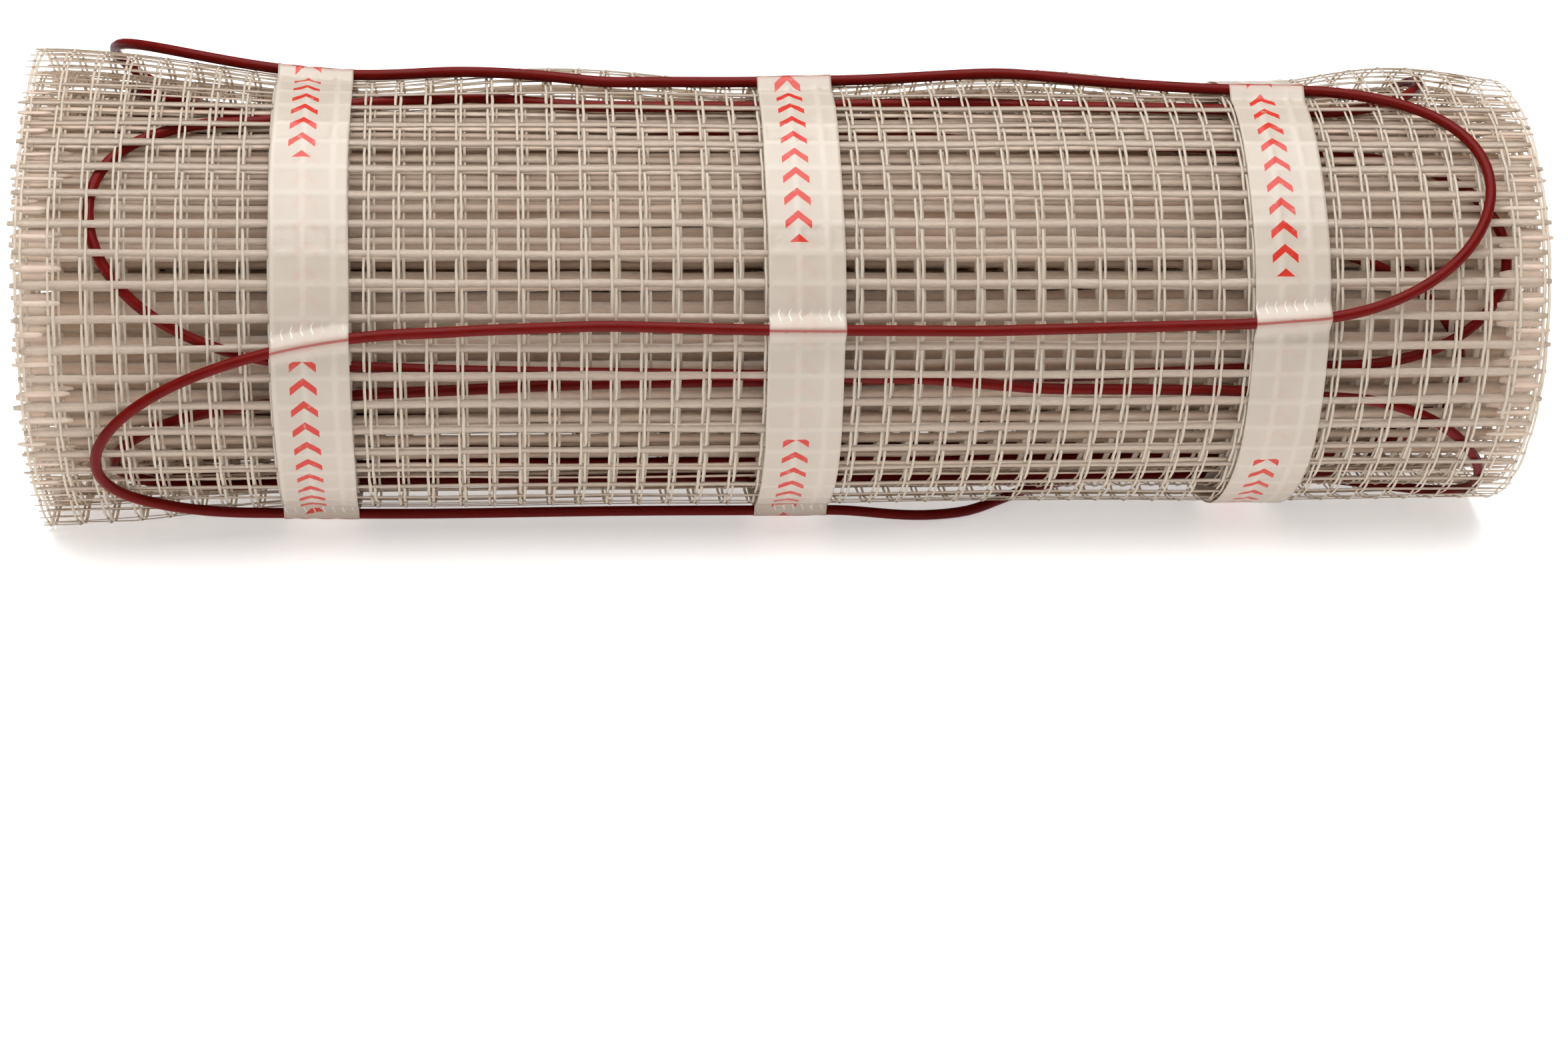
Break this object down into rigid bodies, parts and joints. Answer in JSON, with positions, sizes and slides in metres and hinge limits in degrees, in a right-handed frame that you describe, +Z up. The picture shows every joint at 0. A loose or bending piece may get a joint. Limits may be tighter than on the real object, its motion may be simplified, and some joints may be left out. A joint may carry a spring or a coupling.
{
  "type": "underfloor heating mat",
  "caption": "Rolled glass-fibre mesh mat lying on its side, with a red heating cable looped over its outer turn and held by three cross tapes.",
  "frame": {"origin": "on the floor under the middle of the whole part's bounding box", "axes": "+X along the roll's axis to the right, +Y to the back, +Z up; the roll lies on its side as in the picture"},
  "size_m": [0.5, 0.1526, 0.1507],
  "materials": {
    "glass_mesh": "off-white woven glass-fibre net",
    "cable_sheath": "smooth dark red sheath, satin",
    "tape_film": "milky translucent adhesive film"
  },
  "bodies": {
    "root": {"mesh_roll": "glass_mesh", "heating_cable": "cable_sheath", "tape_left": "tape_film", "tape_middle": "tape_film", "tape_right": "tape_film"}
  },
  "joints": []
}
